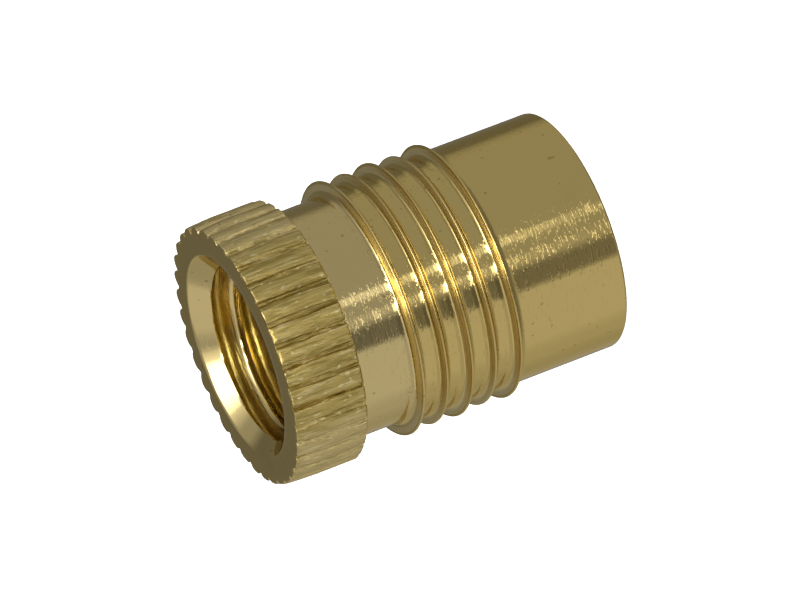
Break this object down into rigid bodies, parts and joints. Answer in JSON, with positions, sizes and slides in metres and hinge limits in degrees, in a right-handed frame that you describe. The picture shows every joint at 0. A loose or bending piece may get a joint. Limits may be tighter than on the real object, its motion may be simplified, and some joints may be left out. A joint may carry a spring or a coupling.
{
  "type": "threaded insert",
  "caption": "Brass press-in threaded insert with a straight-knurled head, thin gripping ribs round its body, a plain rear barrel and a countersunk M10 thread right through.",
  "frame": {"origin": "centre of the plain rear end face, which the insert stands on", "axes": "+Z along the thread axis from the rear end to the knurled head; +X and +Y are any two directions square to it"},
  "size_m": [0.0132, 0.0132, 0.018],
  "materials": {
    "brass": "bare brass, turned and knurled, with fine turning marks"
  },
  "bodies": {
    "root": {"insert_body": "brass"}
  },
  "joints": []
}
